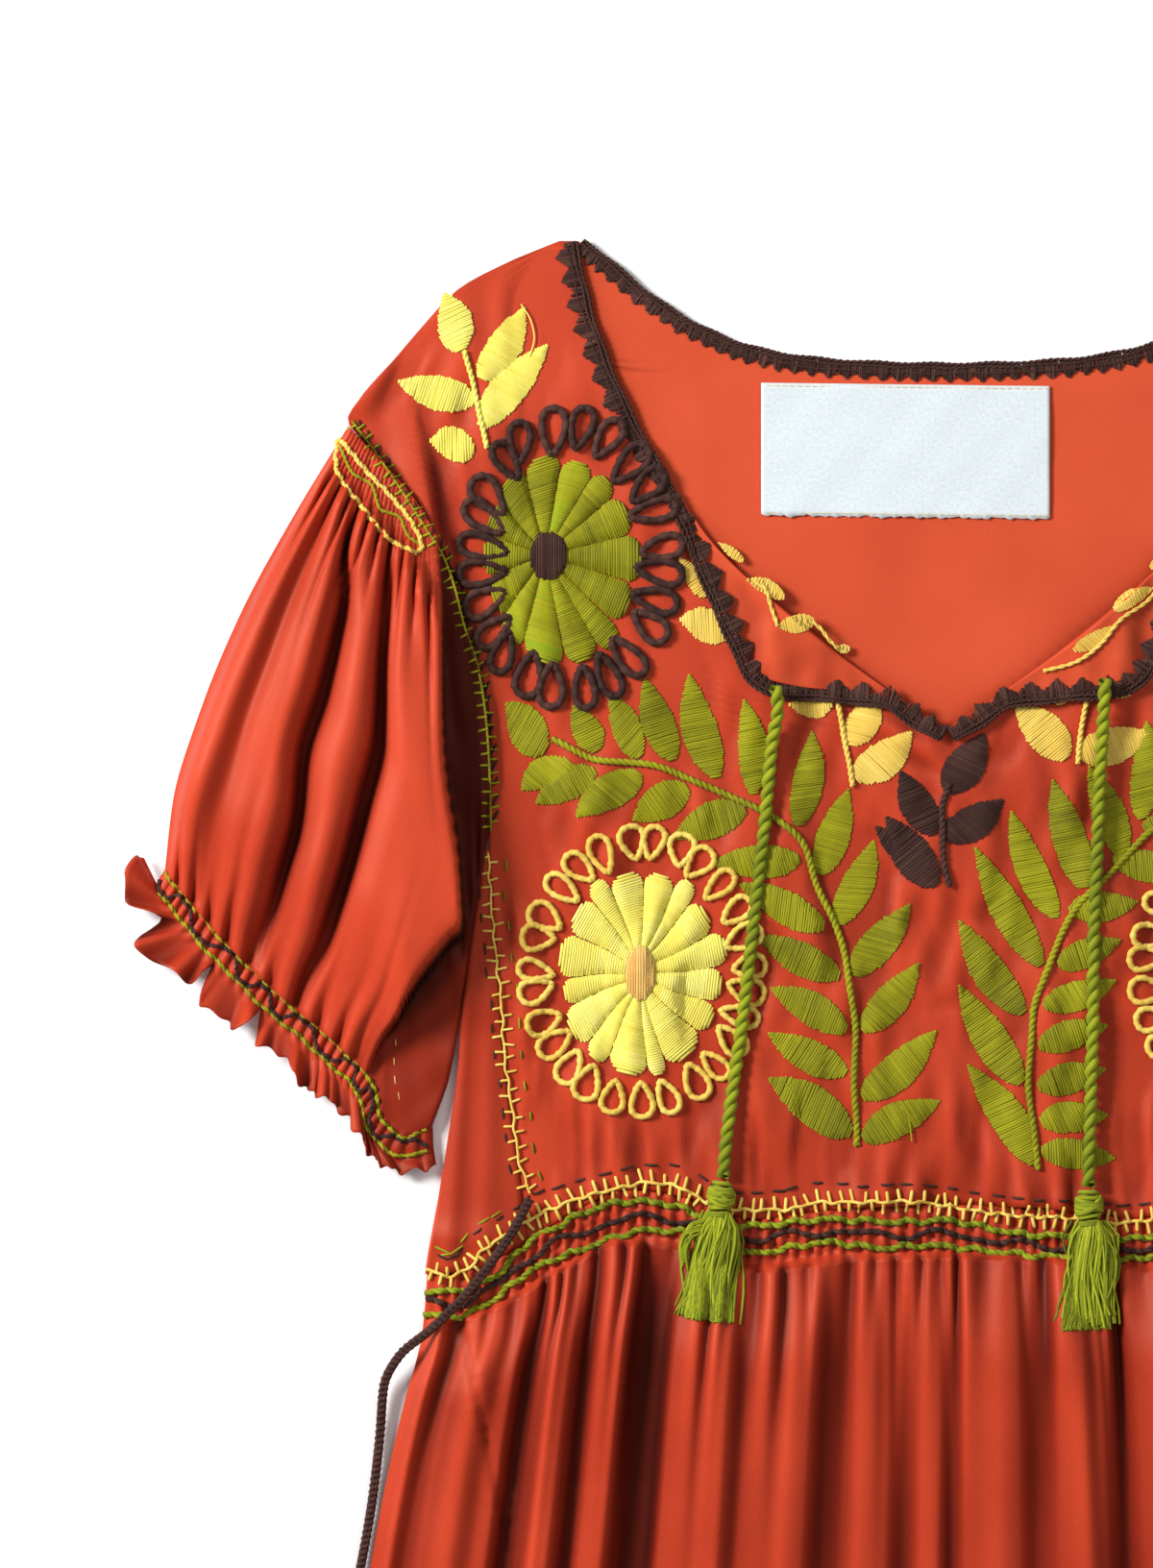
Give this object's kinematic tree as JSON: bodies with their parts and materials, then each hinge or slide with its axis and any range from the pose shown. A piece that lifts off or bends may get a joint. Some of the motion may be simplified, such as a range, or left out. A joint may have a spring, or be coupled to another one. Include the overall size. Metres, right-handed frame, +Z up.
{
  "type": "embroidered satin dress",
  "caption": "Short-sleeved satin dress laid flat, with a crocheted neckline, tasselled neck cords, a shirred waist and a gathered skirt.",
  "frame": {"origin": "on the floor, under the middle of the dress as it lies, measured without its cords", "axes": "the dress lies on its back: +Y towards the neck, +X towards the wearer's left side, +Z up off its front"},
  "size_m": [0.5859, 0.9589, 0.0247],
  "materials": {
    "satin": "satin",
    "crochet": "matte yarn",
    "green_thread": "embroidery thread",
    "yellow_thread": "embroidery thread",
    "label": "woven ribbon"
  },
  "bodies": {
    "root": {"front_bodice": "satin", "back_bodice": "satin", "side_panel_left": "satin", "side_panel_right": "satin", "front_skirt": "satin", "back_skirt": "satin", "sleeve_left": "satin", "sleeve_right": "satin", "neck_corner_left": "satin", "neck_corner_right": "satin", "front_neck_edging_left": "crochet", "front_neck_edging_right": "crochet", "back_neck_edging": "crochet", "label": "label", "green_flower_left": "green_thread", "green_flower_right": "green_thread", "yellow_flower_left": "yellow_thread", "yellow_flower_right": "yellow_thread", "neck_cord_left": "green_thread", "neck_cord_right": "green_thread", "tassel_left": "green_thread", "tassel_right": "green_thread", "waist_tie_left": "crochet", "waist_tie_right": "crochet"}
  },
  "joints": []
}
